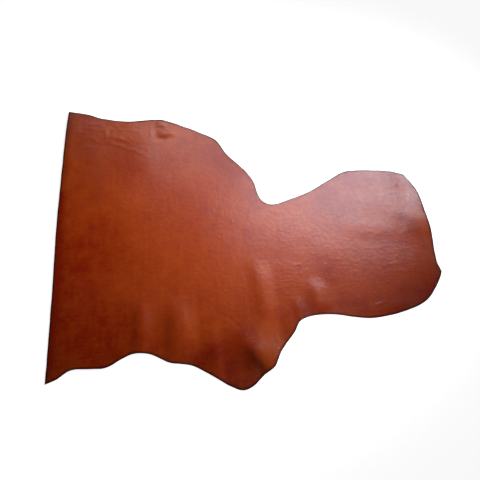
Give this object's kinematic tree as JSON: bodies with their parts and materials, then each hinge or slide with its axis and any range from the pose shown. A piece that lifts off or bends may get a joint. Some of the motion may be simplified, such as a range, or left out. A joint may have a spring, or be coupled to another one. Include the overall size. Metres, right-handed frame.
{
  "type": "leather side",
  "caption": "Large piece of tanned hide lying grain side up, one edge cut straight, the rest a hand-trimmed hide outline with a waist and a neck lobe, low folds along its edges.",
  "frame": {"origin": "centre of the bottom of the part's box, on the surface that the side lies on", "axes": "+X from the straight cut edge to the neck, +Y up along the cut edge, +Z out of the grain side"},
  "size_m": [1.508, 1.3576, 0.0138],
  "materials": {
    "leather": "semi-gloss full grain, chestnut brown"
  },
  "bodies": {
    "root": {"leather_side": "leather"}
  },
  "joints": []
}
